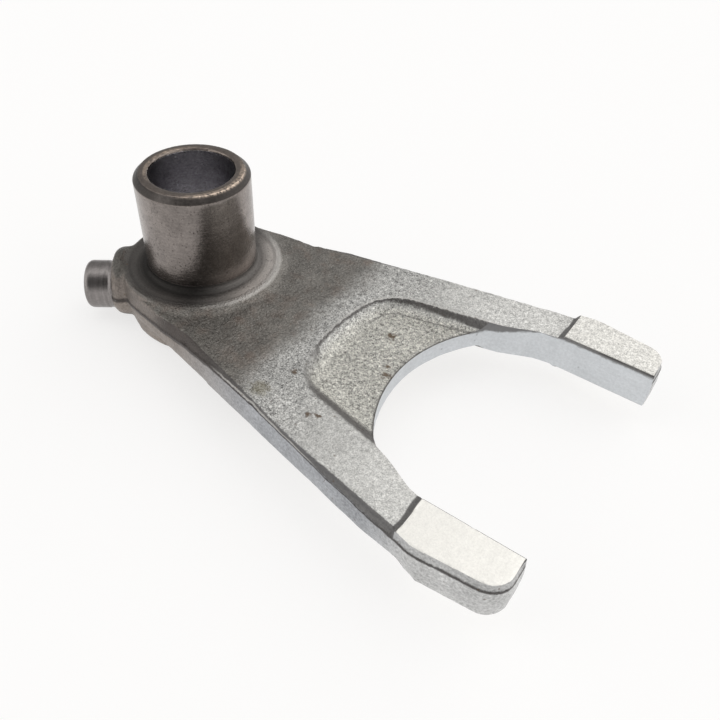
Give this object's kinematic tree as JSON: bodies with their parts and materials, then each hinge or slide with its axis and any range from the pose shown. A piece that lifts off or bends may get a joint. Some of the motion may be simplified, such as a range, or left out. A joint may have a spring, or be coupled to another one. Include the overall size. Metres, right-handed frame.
{
  "type": "shift fork",
  "caption": "Forged gearbox shift fork with a tubular shaft boss, a side guide pin and a flat two-armed fork whose machined claws straddle a gear's groove.",
  "frame": {"origin": "centre of the shaft bore at the hub's bottom face", "axes": "+Z along the bore towards the boss's free end, +X from the bore towards the claws along the middle of the fork"},
  "size_m": [0.095, 0.0562, 0.0288],
  "materials": {
    "forged_steel": "as-forged, blasted, with turned and milled faces"
  },
  "bodies": {
    "root": {"shift_fork": "forged_steel"}
  },
  "joints": []
}
